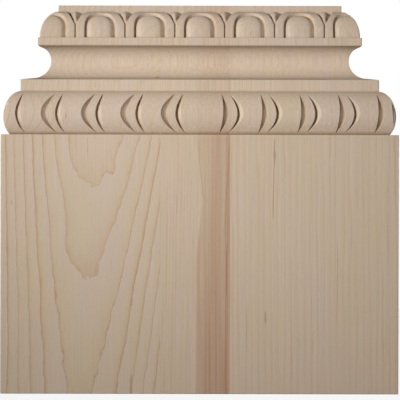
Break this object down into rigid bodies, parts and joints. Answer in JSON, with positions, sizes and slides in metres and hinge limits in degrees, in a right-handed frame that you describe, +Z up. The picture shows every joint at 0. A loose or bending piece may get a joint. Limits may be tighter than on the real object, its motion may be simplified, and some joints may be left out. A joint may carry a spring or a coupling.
{
  "type": "carved wooden plinth",
  "caption": "Carved wooden plinth for a pilaster: plain block below a torus with crescent cuts, a cove, and an egg-and-dart ovolo under a flat seat.",
  "frame": {"origin": "centre of the underside's bounding rectangle", "axes": "+Z up, +X to the right as seen from the front, +Y towards the flat back"},
  "size_m": [0.25, 0.0624, 0.2446],
  "materials": {
    "left_maple": "bare sanded maple, flat sawn, matt",
    "middle_maple": "bare sanded maple with reddish heartwood, matt",
    "right_maple": "bare sanded maple, quarter sawn, matt"
  },
  "bodies": {
    "root": {"left_board": "left_maple", "middle_board": "middle_maple", "right_board": "right_maple"}
  },
  "joints": []
}
